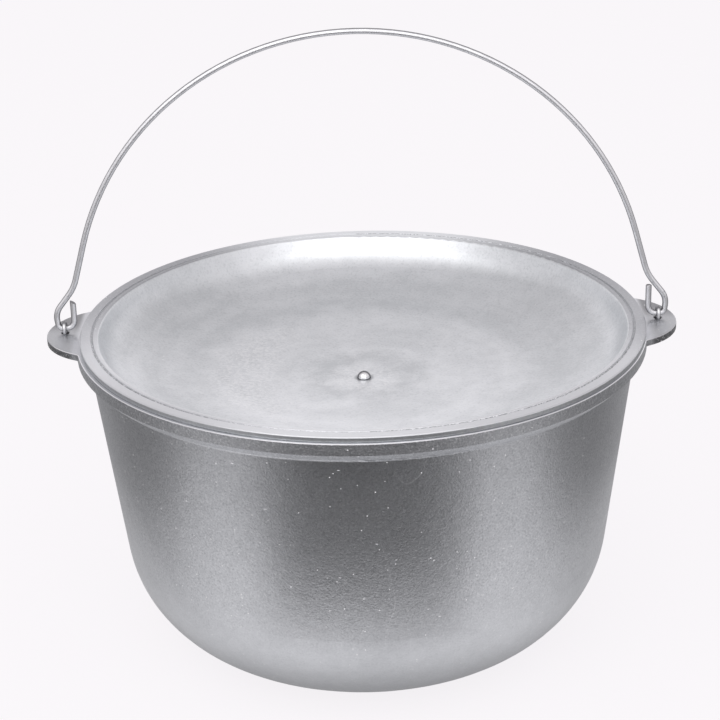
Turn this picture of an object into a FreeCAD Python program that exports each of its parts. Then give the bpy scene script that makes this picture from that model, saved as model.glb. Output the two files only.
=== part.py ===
"""Cast kettle with two ears, a wire bail hung in wire eyes and an inverted dished lid.

Millimetres. The origin is the centre of the flat base, +Z is up, the ears lie on X
and -Y is the front. Every node is built in place and written as one STEP file.
"""
import FreeCAD, Part
import math
import os

# Pot, measured over the flat rim
RIM_RADIUS = 184.0
POT_HEIGHT = 212.5
COLLAR_STANDOUT = 7.4
WALL_TAPER_DEG = 7.2
WALL = 4.0
CORNER_RADIUS = 81.0
MOUTH_BEVEL = 1.0
RIM_ROUND = 0.7

# Collar under the rim
COLLAR_FACE = 7.5
COLLAR_CHAMFER = 4.6
COLLAR_UNDERCUT = 2.8

# Ears, cast with the pot and level with its rim
EAR_REACH = 20.4
EAR_RADIUS = 42.5
EAR_THICKNESS = 4.7
EAR_ROOT_ROUND = 5.0

# Wire eyes, clinched through the ears
EYE_WIRE = 2.5
EYE_LEG_GAP = 0.1
EYE_NECK_RADIUS = 2.0
EYE_TAIL_BEND = 1.45
EYE_TAIL = 8.0
SEAT_GAP = 0.05
EYE_HOLE_BREAK = 0.4

# Bail, one bent wire
BAIL_WIRE = 3.8
BAIL_PLAY = 0.3
BAIL_AXIS_RISE = 3.4
BAIL_ARC_INSET = 0.5
BAIL_ARC_CENTRE_RISE = 10.5
BAIL_LEG_TO_LID = 0.9
BAIL_LEG_RISE = 22.8
BAIL_LEG_BEND = 5.2
BAIL_EYE_PLAY = 0.05
BAIL_OUTER_BEYOND_EYE = 3.8
BAIL_OUTER_BEND = 3.4
BAIL_BULGE_BEYOND_EYE = 5.2
BAIL_BULGE_RISE = 14.0
BAIL_BULGE_BEND = 13.0
BAIL_NECK_FLARE = 1.4
BAIL_NECK_RISE = 30.8
BAIL_NECK_BEND = 30.0
BAIL_END_SLANT_DEG = 32.0
BAIL_END_BREAK = 0.35
BAIL_END_CUTTER = 3.0

# Lid, laid on the rim upside down
LID_INSET = 1.3
LID_SHIFT_X = 0.8
LID_SHIFT_Y = 0.4
LID_SEAT_GAP = 0.05
FLANGE = 3.4
FLANGE_EDGE_ROUND = 0.9
FLANGE_FOOT_ROUND = 0.4
GROOVE_FROM_EDGE = 7.6
GROOVE_WIDTH = 1.9
GROOVE_DEPTH = 0.8
LIP_ROUND = 2.2
LID_SHEET = 2.4
DISH_TO_MOUTH = 1.65
DISH_WALL_FOOT = 4.62
DISH_SLOPES_DEG = (8.8, 26.0, 68.0)
DISH_SHARES = (4.59, 0.783, 0.1295)

# Knob, rivet and washer, all on the lid's axis
RIVET_SHANK = 5.0
RIVET_CLEARANCE = 0.1
RIVET_DOME_RADIUS = 4.5
RIVET_TAIL_RADIUS = 4.0
RIVET_TAIL_HEIGHT = 2.2
KNOB_SEAT_RADIUS = 12.0
KNOB_NECK_RADIUS = 8.5
KNOB_HEAD_RADIUS = 19.0
KNOB_HEIGHT = 30.0
KNOB_NECK_AT = 11.0
KNOB_BRIM_AT = 22.0
KNOB_POCKET_RADIUS = 8.0
KNOB_POCKET_DEPTH = 7.0
KNOB_SHOULDER_BOW = 1.4
KNOB_HOLLOW_BOW = 2.1
KNOB_CROWN_BOW = 2.1
WASHER_RADIUS = 6.5
WASHER = 1.2
STACK_GAP = 0.02

# Sizes that follow from the ones above
WALL_TOP_RADIUS = RIM_RADIUS - COLLAR_STANDOUT
EAR_CENTRE_X = RIM_RADIUS + EAR_REACH - EAR_RADIUS
LID_RADIUS = RIM_RADIUS - LID_INSET
GROOVE_RADIUS = LID_RADIUS - GROOVE_FROM_EDGE
BAIL_ARC_RADIUS = RIM_RADIUS - BAIL_ARC_INSET
BAIL_LEG_X = LID_RADIUS + LID_SHIFT_X + BAIL_LEG_TO_LID + BAIL_WIRE / 2
EYE_X = BAIL_LEG_X + BAIL_LEG_BEND + BAIL_EYE_PLAY + EYE_WIRE / 2

Z_AXIS = FreeCAD.Vector(0, 0, 1)
ORIGIN = FreeCAD.Vector(0, 0, 0)
HINGE_Z = POT_HEIGHT + BAIL_AXIS_RISE
EYE_LOOP_RADIUS = BAIL_WIRE / 2 + BAIL_PLAY + EYE_WIRE / 2
EYE_LEG_Y = (EYE_WIRE + EYE_LEG_GAP) / 2
EYE_HOLE_RADIUS = EYE_LEG_Y + EYE_WIRE / 2 + SEAT_GAP


def xz(point):
    """A radius and a height, or an X and a Z, as a point of the XZ plane."""
    return FreeCAD.Vector(point[0], 0, point[1])


def line(start, end):
    """Straight edge between two points."""
    return Part.LineSegment(start, end).toShape()


def arc(start, middle, end):
    """Circular edge through three points."""
    return Part.Arc(start, middle, end).toShape()


def centred_arc(centre, radius, from_deg, to_deg):
    """Edge of a circle in the XZ plane, from one angle to another, with its two ends."""
    angles = [math.radians(a) for a in (from_deg, (from_deg + to_deg) / 2, to_deg)]
    points = [xz((centre[0] + radius * math.cos(a), centre[1] + radius * math.sin(a))) for a in angles]
    return arc(*points), points[0], points[2]


def revolved(edges):
    """Solid of revolution about Z from a closed run of edges in the XZ plane."""
    face = Part.Face(Part.Wire(edges))
    return face.revolve(ORIGIN, Z_AXIS, 360)


def rounded_run(corners, radii):
    """Edges of a polyline whose inner corners are rounded, with no doubling back."""
    edges = []
    start = corners[0]
    for before, corner, after, radius in zip(corners, corners[1:], corners[2:], radii):
        into = (corner - before).normalize()
        out = (after - corner).normalize()
        turn = into.getAngle(out)
        reach = radius * math.tan(turn / 2)
        enter = corner - into * reach
        leave = corner + out * reach
        bisector = (out - into).normalize()
        middle = corner + bisector * (radius / math.cos(turn / 2) - radius)
        edges.append(line(start, enter))
        edges.append(arc(enter, middle, leave))
        start = leave
    edges.append(line(start, corners[-1]))
    return edges


def swept(edges, diameter):
    """Round wire of the given diameter swept along a smooth run of edges."""
    path = Part.Wire(edges)
    start = edges[0].valueAt(edges[0].FirstParameter)
    along = edges[0].tangentAt(edges[0].FirstParameter)
    ring = Part.Wire(Part.makeCircle(diameter / 2, start, along))
    return path.makePipeShell([ring], True, False)


def outer_wall_radius(depth):
    """Outside radius of the tapered wall at a depth under the rim."""
    collar = COLLAR_FACE + COLLAR_CHAMFER
    return WALL_TOP_RADIUS - (depth - collar) * math.tan(math.radians(WALL_TAPER_DEG))


def inner_wall_radius(depth):
    """Inside radius of the tapered wall at a depth under the rim."""
    return outer_wall_radius(depth) - WALL / math.cos(math.radians(WALL_TAPER_DEG))


def corner_centre_radius():
    """Radius of the circle of centres of the corner between wall and base."""
    taper = math.radians(WALL_TAPER_DEG)
    depth = POT_HEIGHT - CORNER_RADIUS * (1 - math.sin(taper))
    return outer_wall_radius(depth) - CORNER_RADIUS * math.cos(taper)


def pot_outer_edges():
    """Outside of the pot from the middle of the base up to the rim's outer edge."""
    centre = (corner_centre_radius(), CORNER_RADIUS)
    corner, base_end, wall_start = centred_arc(centre, CORNER_RADIUS, -90, -WALL_TAPER_DEG)
    top_depth = COLLAR_FACE + COLLAR_CHAMFER + COLLAR_UNDERCUT
    wall_end = xz((outer_wall_radius(top_depth), POT_HEIGHT - top_depth))
    chamfer_foot = xz((RIM_RADIUS - COLLAR_CHAMFER, POT_HEIGHT - COLLAR_FACE - COLLAR_CHAMFER))
    chamfer_head = xz((RIM_RADIUS, POT_HEIGHT - COLLAR_FACE))
    rim = xz((RIM_RADIUS, POT_HEIGHT))
    chord = (wall_end + chamfer_foot) * 0.5
    bow = FreeCAD.Vector(-1, 0, 1).normalize() * (COLLAR_UNDERCUT / 4)
    return [
        line(ORIGIN, base_end),
        corner,
        line(wall_start, wall_end),
        arc(wall_end, chord + bow, chamfer_foot),
        line(chamfer_foot, chamfer_head),
        line(chamfer_head, rim),
    ]


def pot_inner_edges():
    """Rim top, mouth bevel and inside of the pot, down to the middle of the floor."""
    centre = (corner_centre_radius(), CORNER_RADIUS)
    corner, floor_end, wall_end = centred_arc(centre, CORNER_RADIUS - WALL, -90, -WALL_TAPER_DEG)
    bevel_foot = xz((inner_wall_radius(MOUTH_BEVEL), POT_HEIGHT - MOUTH_BEVEL))
    bevel_head = xz((inner_wall_radius(0) + MOUTH_BEVEL, POT_HEIGHT))
    floor_middle = xz((0, WALL))
    return [
        line(xz((RIM_RADIUS, POT_HEIGHT)), bevel_head),
        line(bevel_head, bevel_foot),
        line(bevel_foot, wall_end),
        corner,
        line(floor_end, floor_middle),
        line(floor_middle, ORIGIN),
    ]


def ear_outline():
    """Outline of the right ear at its underside, with the rounds that lead into the rim."""
    reach = RIM_RADIUS + EAR_ROOT_ROUND
    spread = EAR_RADIUS + EAR_ROOT_ROUND
    root_x = (reach ** 2 - spread ** 2 + EAR_CENTRE_X ** 2) / (2 * EAR_CENTRE_X)
    low = POT_HEIGHT - EAR_THICKNESS
    root = FreeCAD.Vector(root_x, math.sqrt(reach ** 2 - root_x ** 2), low)
    centre = FreeCAD.Vector(EAR_CENTRE_X, 0, low)
    axis = FreeCAD.Vector(0, 0, low)
    on_rim = axis + (root - axis) * (RIM_RADIUS / reach)
    on_ear = centre + (root - centre) * (EAR_RADIUS / spread)
    middle = root + ((on_rim + on_ear) * 0.5 - root).normalize() * EAR_ROOT_ROUND
    inner = axis + (root - axis) * (WALL_TOP_RADIUS / reach)
    tip = centre + FreeCAD.Vector(EAR_RADIUS, 0, 0)
    far_ear, far_middle, far_rim, far_inner = [
        FreeCAD.Vector(p.x, -p.y, p.z) for p in (on_ear, middle, on_rim, inner)
    ]
    return [
        line(inner, on_rim),
        arc(on_rim, middle, on_ear),
        arc(on_ear, tip, far_ear),
        arc(far_ear, far_middle, far_rim),
        line(far_rim, far_inner),
        line(far_inner, inner),
    ]


def is_ear_underedge(edge):
    """True for the curved outline edges on the underside of an ear."""
    box = edge.BoundBox
    level = abs(box.ZMax - POT_HEIGHT + EAR_THICKNESS) < SEAT_GAP
    return level and edge.Curve.TypeId == "Part::GeomCircle"


def ear(side):
    """Flat ear on one side, rounded below and kept clear of the inside of the pot."""
    blank = Part.Face(Part.Wire(ear_outline())).extrude(Z_AXIS * EAR_THICKNESS)
    blank = blank.makeFillet(RIM_ROUND, [e for e in blank.Edges if is_ear_underedge(e)])
    solid = blank.cut(Part.makeCylinder(WALL_TOP_RADIUS, POT_HEIGHT))
    return solid if side > 0 else solid.mirror(ORIGIN, FreeCAD.Vector(1, 0, 0))


def eye_hole(side):
    """Drilled hole for an eye's two legs, with both edges broken."""
    top = FreeCAD.Vector(side * EYE_X, 0, POT_HEIGHT)
    under = FreeCAD.Vector(side * EYE_X, 0, POT_HEIGHT - EAR_THICKNESS)
    wide = EYE_HOLE_RADIUS + EYE_HOLE_BREAK
    drill = Part.makeCylinder(EYE_HOLE_RADIUS, EAR_THICKNESS, under)
    upper = Part.makeCone(wide, EYE_HOLE_RADIUS, EYE_HOLE_BREAK, top, FreeCAD.Vector(0, 0, -1))
    lower = Part.makeCone(wide, EYE_HOLE_RADIUS, EYE_HOLE_BREAK, under)
    return drill.fuse([upper, lower])


def is_rim_outline(edge):
    """True for the edges round the outside of the level top of rim and ears."""
    box = edge.BoundBox
    level = box.ZLength < SEAT_GAP and abs(box.ZMax - POT_HEIGHT) < SEAT_GAP
    middle = edge.valueAt((edge.FirstParameter + edge.LastParameter) / 2)
    return level and math.hypot(middle.x, middle.y) > RIM_RADIUS - SEAT_GAP


def kettle_body():
    """Pot and ears as one casting, drilled for the eyes."""
    pot = revolved(pot_outer_edges() + pot_inner_edges())
    body = pot.fuse([ear(1), ear(-1)]).removeSplitter()
    body = body.makeFillet(RIM_ROUND, [e for e in body.Edges if is_rim_outline(e)])
    return body.cut([eye_hole(1), eye_hole(-1)])


def eye(side):
    """Loop of wire round the bail, its two legs side by side and turned out below."""
    blend_y = EYE_LEG_Y + EYE_NECK_RADIUS
    spread = EYE_LOOP_RADIUS + EYE_NECK_RADIUS
    drop = math.sqrt(spread ** 2 - blend_y ** 2)
    neck_z = HINGE_Z - drop
    under = POT_HEIGHT - EAR_THICKNESS
    tail_z = under - SEAT_GAP - EYE_WIRE / 2
    bend_z = tail_z + EYE_TAIL_BEND
    bend_y = EYE_LEG_Y + EYE_TAIL_BEND
    share = EYE_LOOP_RADIUS / spread
    join_y = blend_y * share
    join_z = HINGE_Z - drop * share
    half = math.atan2(drop, blend_y) / 2
    diagonal = math.sqrt(0.5)

    def at(y, z):
        return FreeCAD.Vector(side * EYE_X, y, z)

    def half_run(sign):
        """Edges from the tail's tip up to where the loop starts, on one side in Y."""
        bend_middle = at(sign * (bend_y - EYE_TAIL_BEND * diagonal), bend_z - EYE_TAIL_BEND * diagonal)
        neck_middle = at(
            sign * (blend_y - EYE_NECK_RADIUS * math.cos(half)),
            neck_z + EYE_NECK_RADIUS * math.sin(half),
        )
        tip = at(sign * (bend_y + EYE_TAIL), tail_z)
        tail_start = at(sign * bend_y, tail_z)
        leg_foot = at(sign * EYE_LEG_Y, bend_z)
        leg_head = at(sign * EYE_LEG_Y, neck_z)
        loop_start = at(sign * join_y, join_z)
        return [
            line(tip, tail_start),
            arc(tail_start, bend_middle, leg_foot),
            line(leg_foot, leg_head),
            arc(leg_head, neck_middle, loop_start),
        ]

    loop = arc(at(-join_y, join_z), at(0, HINGE_Z + EYE_LOOP_RADIUS), at(join_y, join_z))
    return swept(half_run(-1) + [loop] + half_run(1)[::-1], EYE_WIRE)


def bail_side(side):
    """Edges of one end of the bail, from the cut end of its leg up to the arc's start."""
    neck = (BAIL_ARC_RADIUS + BAIL_NECK_FLARE, BAIL_NECK_RISE)
    offset = (neck[0], neck[1] - BAIL_ARC_CENTRE_RISE)
    away = math.hypot(*offset)
    angle = math.atan2(offset[1], offset[0]) + math.acos(BAIL_ARC_RADIUS / away)
    tangent = (
        BAIL_ARC_RADIUS * math.cos(angle),
        BAIL_ARC_CENTRE_RISE + BAIL_ARC_RADIUS * math.sin(angle),
    )
    run = (
        (BAIL_LEG_X, BAIL_LEG_RISE),
        (BAIL_LEG_X, BAIL_AXIS_RISE),
        (EYE_X + BAIL_OUTER_BEYOND_EYE, BAIL_AXIS_RISE),
        (EYE_X + BAIL_BULGE_BEYOND_EYE, BAIL_BULGE_RISE),
        neck,
        tangent,
    )
    corners = [FreeCAD.Vector(side * x, 0, POT_HEIGHT + z) for x, z in run]
    radii = (BAIL_LEG_BEND, BAIL_OUTER_BEND, BAIL_BULGE_BEND, BAIL_NECK_BEND)
    return rounded_run(corners, radii), corners[-1]


def slant_cutter():
    """Block that leaves the left leg's end cut on the slant."""
    half = BAIL_END_CUTTER
    block = Part.makeBox(2 * half, 2 * half, half, FreeCAD.Vector(-half, -half, 0))
    block.rotate(ORIGIN, FreeCAD.Vector(0, 1, 0), BAIL_END_SLANT_DEG)
    block.translate(FreeCAD.Vector(-BAIL_LEG_X, 0, POT_HEIGHT + BAIL_LEG_RISE - BAIL_WIRE / 2))
    return block


def bail():
    """Bail of one wire, an arc with an open hook at each end."""
    left, left_tangent = bail_side(-1)
    right, right_tangent = bail_side(1)
    apex = FreeCAD.Vector(0, 0, POT_HEIGHT + BAIL_ARC_CENTRE_RISE + BAIL_ARC_RADIUS)
    crown = arc(left_tangent, apex, right_tangent)
    wire = swept(left + [crown] + right[::-1], BAIL_WIRE)
    ends = [e for e in wire.Edges if is_leg_end(e)]
    wire = wire.makeChamfer(BAIL_END_BREAK, ends)
    return wire.cut(slant_cutter())


def is_leg_end(edge):
    """True for the round edge at the cut end of the right leg."""
    box = edge.BoundBox
    level = box.ZLength < SEAT_GAP and abs(box.ZMax - POT_HEIGHT - BAIL_LEG_RISE) < SEAT_GAP
    return level and box.Center.x > 0


def dish_wall_radius():
    """Inside radius of the dish's wall at the rim's level, set by the pot's mouth."""
    sheet = LID_SHEET / math.sin(math.radians(DISH_SLOPES_DEG[-1]))
    return inner_wall_radius(0) - DISH_TO_MOUTH - sheet


def dish_arcs():
    """Radius, first slope and last slope of each arc from the middle of the dish outwards."""
    slopes = (0.0,) + DISH_SLOPES_DEG
    radii = [share * dish_wall_radius() for share in DISH_SHARES]
    return list(zip(radii, slopes, slopes[1:]))


def dish_floor():
    """Height of the middle of the dish over the flange's underside."""
    rise = sum(
        radius * (math.cos(math.radians(low)) - math.cos(math.radians(high)))
        for radius, low, high in dish_arcs()
    )
    return -rise - DISH_WALL_FOOT


def dish_run(offset):
    """Edges of the dish from its middle outwards, moved outwards by an offset."""
    edges = []
    last = dish_arcs()[0][0]
    centre = (0.0, dish_floor() + last)
    end = None
    for radius, low, high in dish_arcs():
        turn = math.radians(low)
        centre = (
            centre[0] + (last - radius) * math.sin(turn),
            centre[1] - (last - radius) * math.cos(turn),
        )
        edge, _start, end = centred_arc(centre, radius + offset, low - 90, high - 90)
        edges.append(edge)
        last = radius
    return edges, end


def lid_top_edges():
    """Upper side of the lid, from the middle of the dish out to the flange's edge."""
    edges, wall_foot = dish_run(0)
    slope = math.radians(DISH_SLOPES_DEG[-1])
    wall_rise = FLANGE - LIP_ROUND * (1 - math.cos(slope)) - wall_foot.z
    wall_head = xz((wall_foot.x + wall_rise / math.tan(slope), wall_foot.z + wall_rise))
    lip_centre = (wall_head.x + LIP_ROUND * math.sin(slope), FLANGE - LIP_ROUND)
    lip, lip_end, _lip_start = centred_arc(lip_centre, LIP_ROUND, 90, 90 + DISH_SLOPES_DEG[-1])
    groove_in = xz((GROOVE_RADIUS - GROOVE_WIDTH / 2, FLANGE))
    groove_foot = xz((GROOVE_RADIUS, FLANGE - GROOVE_DEPTH))
    groove_out = xz((GROOVE_RADIUS + GROOVE_WIDTH / 2, FLANGE))
    edge_centre = (LID_RADIUS - FLANGE_EDGE_ROUND, FLANGE - FLANGE_EDGE_ROUND)
    edge, edge_foot, edge_head = centred_arc(edge_centre, FLANGE_EDGE_ROUND, 0, 90)
    edges += [
        line(wall_foot, wall_head),
        lip,
        line(lip_end, groove_in),
        arc(groove_in, groove_foot, groove_out),
        line(groove_out, edge_head),
        edge,
    ]
    return edges, edge_foot


def lid_under_edges(edge_foot):
    """Under side of the lid, from the flange's edge back to the middle of the dish."""
    run, wall_foot = dish_run(LID_SHEET)
    slope = math.radians(DISH_SLOPES_DEG[-1])
    wall_head = xz((wall_foot.x - wall_foot.z / math.tan(slope), 0))
    foot_centre = (LID_RADIUS - FLANGE_FOOT_ROUND, FLANGE_FOOT_ROUND)
    foot, under_end, side_end = centred_arc(foot_centre, FLANGE_FOOT_ROUND, -90, 0)
    return [
        line(edge_foot, side_end),
        foot,
        line(under_end, wall_head),
        line(wall_head, wall_foot),
    ] + run[::-1]


def lid():
    """Inverted lid, a deep dish with a flat flange, drilled for the rivet."""
    top, edge_foot = lid_top_edges()
    axis = line(xz((0, dish_floor())), xz((0, dish_floor() - LID_SHEET)))
    blank = revolved(top + lid_under_edges(edge_foot) + [axis])
    low = FreeCAD.Vector(0, 0, dish_floor() - 2 * LID_SHEET)
    hole = Part.makeCylinder(RIVET_SHANK / 2 + RIVET_CLEARANCE, 4 * LID_SHEET, low)
    return on_lid(blank.cut(hole))


def on_lid(shape):
    """A shape drawn about the lid's own axis, moved to where the lid lies."""
    shape.translate(FreeCAD.Vector(LID_SHIFT_X, LID_SHIFT_Y, POT_HEIGHT + LID_SEAT_GAP))
    return shape


def lid_knob():
    """Turned knob hanging under the inverted lid, bored and pocketed for the rivet."""
    top = dish_floor() - LID_SHEET - STACK_GAP
    bore = RIVET_SHANK / 2 + RIVET_CLEARANCE
    foot = top - KNOB_HEIGHT
    seat = xz((KNOB_SEAT_RADIUS, top))
    neck = xz((KNOB_NECK_RADIUS, top - KNOB_NECK_AT))
    brim = xz((KNOB_HEAD_RADIUS, top - KNOB_BRIM_AT))
    shoulder = (seat + neck) * 0.5 - xz((KNOB_SHOULDER_BOW, 0))
    hollow = (neck + brim) * 0.5 - xz((KNOB_HOLLOW_BOW, KNOB_HOLLOW_BOW / 2))
    pocket = foot + KNOB_POCKET_DEPTH
    face = xz((KNOB_POCKET_RADIUS + WASHER, foot))
    crown = (brim + face) * 0.5 + xz((KNOB_CROWN_BOW, -KNOB_CROWN_BOW))
    edges = [
        line(xz((bore, top)), seat),
        arc(seat, shoulder, neck),
        arc(neck, hollow, brim),
        arc(brim, crown, face),
        line(face, xz((KNOB_POCKET_RADIUS, foot))),
        line(xz((KNOB_POCKET_RADIUS, foot)), xz((KNOB_POCKET_RADIUS, pocket))),
        line(xz((KNOB_POCKET_RADIUS, pocket)), xz((bore, pocket))),
        line(xz((bore, pocket)), xz((bore, top))),
    ]
    return on_lid(revolved(edges))


def pocket_floor():
    """Height of the knob's pocket floor in the lid's own frame."""
    return dish_floor() - LID_SHEET - STACK_GAP - KNOB_HEIGHT + KNOB_POCKET_DEPTH


def rivet_washer():
    """Washer between the knob's pocket and the clinched tail."""
    low = FreeCAD.Vector(0, 0, pocket_floor() - STACK_GAP - WASHER)
    disc = Part.makeCylinder(WASHER_RADIUS, WASHER, low)
    hole = Part.makeCylinder(RIVET_SHANK / 2 + RIVET_CLEARANCE, WASHER, low)
    return on_lid(disc.cut(hole))


def tail_cap(tail):
    """Edge of the clinched tail's round end, from its rim to the rivet's axis."""
    sphere = (RIVET_TAIL_RADIUS ** 2 + RIVET_TAIL_HEIGHT ** 2) / (2 * RIVET_TAIL_HEIGHT)
    half = math.asin(RIVET_TAIL_RADIUS / sphere) / 2
    centre = tail - RIVET_TAIL_HEIGHT + sphere
    middle = xz((sphere * math.sin(half), centre - sphere * math.cos(half)))
    return arc(xz((RIVET_TAIL_RADIUS, tail)), middle, xz((0, tail - RIVET_TAIL_HEIGHT)))


def knob_rivet():
    """Rivet with a round head in the dish, its shank through the knob and a domed tail."""
    head = dish_floor() + STACK_GAP
    tail = pocket_floor() - 2 * STACK_GAP - WASHER
    shank = RIVET_SHANK / 2
    sag = RIVET_DOME_RADIUS * math.sqrt(0.5)
    top = xz((0, head + RIVET_DOME_RADIUS))
    edges = [
        line(xz((0, tail - RIVET_TAIL_HEIGHT)), top),
        arc(top, xz((sag, head + sag)), xz((RIVET_DOME_RADIUS, head))),
        line(xz((RIVET_DOME_RADIUS, head)), xz((shank, head))),
        line(xz((shank, head)), xz((shank, tail))),
        line(xz((shank, tail)), xz((RIVET_TAIL_RADIUS, tail))),
        tail_cap(tail),
    ]
    return on_lid(revolved(edges))


def report(name, shape):
    """Write one node's STEP file and print its size."""
    shape.exportStep("parts/" + name + ".step")
    box = shape.optimalBoundingBox()
    solids = len(shape.Solids)
    print(name, "solids", solids, "valid", shape.isValid(), "volume", round(shape.Volume, 1),
          "x", round(box.XMin, 2), round(box.XMax, 2), "y", round(box.YMin, 2), round(box.YMax, 2),
          "z", round(box.ZMin, 2), round(box.ZMax, 2))


def single(shape):
    """The one solid of a shape, without any compound round it."""
    return shape.Solids[0] if len(shape.Solids) == 1 else shape


os.makedirs("parts", exist_ok=True)
report("kettle_body", single(kettle_body()))
report("left_eye", single(eye(-1)))
report("right_eye", single(eye(1)))
report("bail", single(bail()))
report("lid", single(lid()))
report("lid_knob", single(lid_knob()))
report("knob_rivet", single(knob_rivet()))
report("rivet_washer", single(rivet_washer()))
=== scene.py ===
"""Looks of the cast kettle: its metal finishes, the studio and the camera.

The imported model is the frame, in metres: the pot stands on Z = 0, the ears lie on X and
-Y is the front. Every node keeps its own mesh and gets a material made of nodes.
"""

import logging
import math
from dataclasses import dataclass, field
from enum import Enum

import bpy
import numpy as np
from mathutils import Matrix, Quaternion, Vector


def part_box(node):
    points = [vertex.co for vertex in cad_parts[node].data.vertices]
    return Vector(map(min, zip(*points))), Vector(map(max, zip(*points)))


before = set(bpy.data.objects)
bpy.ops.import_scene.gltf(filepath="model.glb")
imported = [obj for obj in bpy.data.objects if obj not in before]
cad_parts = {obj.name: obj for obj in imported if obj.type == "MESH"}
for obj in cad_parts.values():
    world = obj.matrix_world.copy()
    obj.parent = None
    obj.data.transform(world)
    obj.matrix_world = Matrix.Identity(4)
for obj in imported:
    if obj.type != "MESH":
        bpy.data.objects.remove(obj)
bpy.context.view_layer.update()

LOG = logging.getLogger("kettle")

Colour = tuple[float, float, float]
Point = tuple[float, float, float]
Span = tuple[float, float]
Socket = bpy.types.NodeSocket
Source = Socket | float | tuple[float, ...]

RIM_HEIGHT = 0.2125
RIM_RADIUS = 0.184
LID_AXIS: Point = (0.0008, 0.0004, 0.0)
BAIL_ARC_CENTRE: Point = (0.0, 0.0, 0.223)
LEFT_EYE_CENTRE: Point = (-0.1928, 0.0, 0.2159)
RIGHT_EYE_CENTRE: Point = (0.1928, 0.0, 0.2159)
STUDIO_WHITE: Colour = (0.965, 0.94, 0.965)
WHOLE: Span = (0.0, 1.0)


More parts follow.
